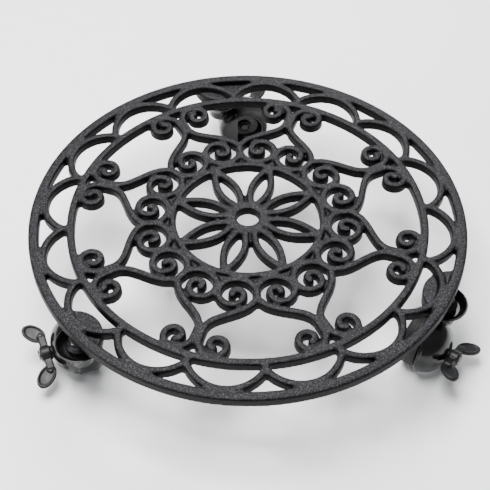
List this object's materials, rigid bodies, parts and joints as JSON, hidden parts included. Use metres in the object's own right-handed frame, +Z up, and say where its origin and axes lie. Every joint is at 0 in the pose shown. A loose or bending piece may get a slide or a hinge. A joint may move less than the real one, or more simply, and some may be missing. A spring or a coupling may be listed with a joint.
{
  "type": "plant pot caddy",
  "caption": "Round openwork cast-iron plant pot caddy with scrollwork, riding on swivelling hooded casters with butterfly brake levers.",
  "frame": {"origin": "on the floor, under the middle of the caddy's footprint", "axes": "+Z up, out of the pot surface; +Y towards the back caster; +X to the right"},
  "size_m": [0.3491, 0.3724, 0.068],
  "materials": {
    "cast_iron": "satin black powder coat over a cast surface",
    "dark_steel": "blackened, satin",
    "plated_steel": "zinc plated, satin",
    "hood_plastic": "glossy black moulded",
    "wheel_plastic": "glossy black moulded",
    "lever_plastic": "semi-gloss black moulded",
    "tyre_rubber": "matte, grey-black tread"
  },
  "bodies": {
    "frame": {"cast_plate": "cast_iron", "stem_left": "plated_steel", "jam_nut_left": "plated_steel", "race_cap_left": "dark_steel", "stem_right": "plated_steel", "jam_nut_right": "plated_steel", "race_cap_right": "dark_steel", "stem_back": "plated_steel", "jam_nut_back": "plated_steel", "race_cap_back": "dark_steel"},
    "swivel_left": {"hood_left": "hood_plastic", "ball_ring_left": "plated_steel", "axle_left": "plated_steel"},
    "roller_left": {"wheel_left": "wheel_plastic", "tyre_left": "tyre_rubber", "hub_cap_left": "wheel_plastic"},
    "pedal_left": {"brake_lever_left": "lever_plastic", "brake_cam_left": "plated_steel"},
    "lock_left": {"brake_plate_left": "plated_steel"},
    "swivel_right": {"hood_right": "hood_plastic", "ball_ring_right": "plated_steel", "axle_right": "plated_steel"},
    "roller_right": {"wheel_right": "wheel_plastic", "tyre_right": "tyre_rubber", "hub_cap_right": "wheel_plastic"},
    "pedal_right": {"brake_lever_right": "lever_plastic", "brake_cam_right": "plated_steel"},
    "lock_right": {"brake_plate_right": "plated_steel"},
    "swivel_back": {"hood_back": "hood_plastic", "ball_ring_back": "plated_steel", "axle_back": "plated_steel"},
    "roller_back": {"wheel_back": "wheel_plastic", "tyre_back": "tyre_rubber", "hub_cap_back": "wheel_plastic"},
    "pedal_back": {"brake_lever_back": "lever_plastic", "brake_cam_back": "plated_steel"},
    "lock_back": {"brake_plate_back": "plated_steel"}
  },
  "joints": [
    {"name": "swivel_turn_left", "type": "hinge", "parent": "frame", "child": "swivel_left", "pos_m": [-0.12486, -0.12438, 0.0443], "axis": [0, 0, 1], "continuous": true},
    {"name": "wheel_spin_left", "type": "hinge", "parent": "swivel_left", "child": "roller_left", "pos_m": [-0.13254, -0.10537, 0.0205], "axis": [-0.9272, -0.3746, 0], "continuous": true},
    {"name": "brake_press_left", "type": "hinge", "parent": "swivel_left", "child": "pedal_left", "pos_m": [-0.13254, -0.10537, 0.0205], "axis": [-0.9272, -0.3746, 0], "range_deg": [0, 34]},
    {"name": "lock_slide_left", "type": "slide", "parent": "swivel_left", "child": "lock_left", "axis": [0.9272, 0.3746, 0], "range_m": [0, 0.002]},
    {"name": "swivel_turn_right", "type": "hinge", "parent": "frame", "child": "swivel_right", "pos_m": [0.14495, -0.08406, 0.0443], "axis": [0, 0, 1], "continuous": true},
    {"name": "wheel_spin_right", "type": "hinge", "parent": "swivel_right", "child": "roller_right", "pos_m": [0.13349, -0.10105, 0.0205], "axis": [0.829, -0.5592, 0], "continuous": true},
    {"name": "brake_press_right", "type": "hinge", "parent": "swivel_right", "child": "pedal_right", "pos_m": [0.13349, -0.10105, 0.0205], "axis": [0.829, -0.5592, 0], "range_deg": [0, 34]},
    {"name": "lock_slide_right", "type": "slide", "parent": "swivel_right", "child": "lock_right", "axis": [-0.829, 0.5592, 0], "range_m": [0, 0.002]},
    {"name": "swivel_turn_back", "type": "hinge", "parent": "frame", "child": "swivel_back", "pos_m": [-0.02873, 0.14559, 0.0443], "axis": [0, 0, 1], "continuous": true},
    {"name": "wheel_spin_back", "type": "hinge", "parent": "swivel_back", "child": "roller_back", "pos_m": [-0.00843, 0.14844, 0.0205], "axis": [-0.1392, 0.9903, 0], "continuous": true},
    {"name": "brake_press_back", "type": "hinge", "parent": "swivel_back", "child": "pedal_back", "pos_m": [-0.00843, 0.14844, 0.0205], "axis": [-0.1392, 0.9903, 0], "range_deg": [0, 34]},
    {"name": "lock_slide_back", "type": "slide", "parent": "swivel_back", "child": "lock_back", "axis": [0.1392, -0.9903, 0], "range_m": [0, 0.002]}
  ],
  "couplings": [
    {"joint": "lock_slide_left", "follows": "brake_press_left", "m_per_rad": 0.0032},
    {"joint": "lock_slide_right", "follows": "brake_press_right", "m_per_rad": 0.0032},
    {"joint": "lock_slide_back", "follows": "brake_press_back", "m_per_rad": 0.0032}
  ]
}
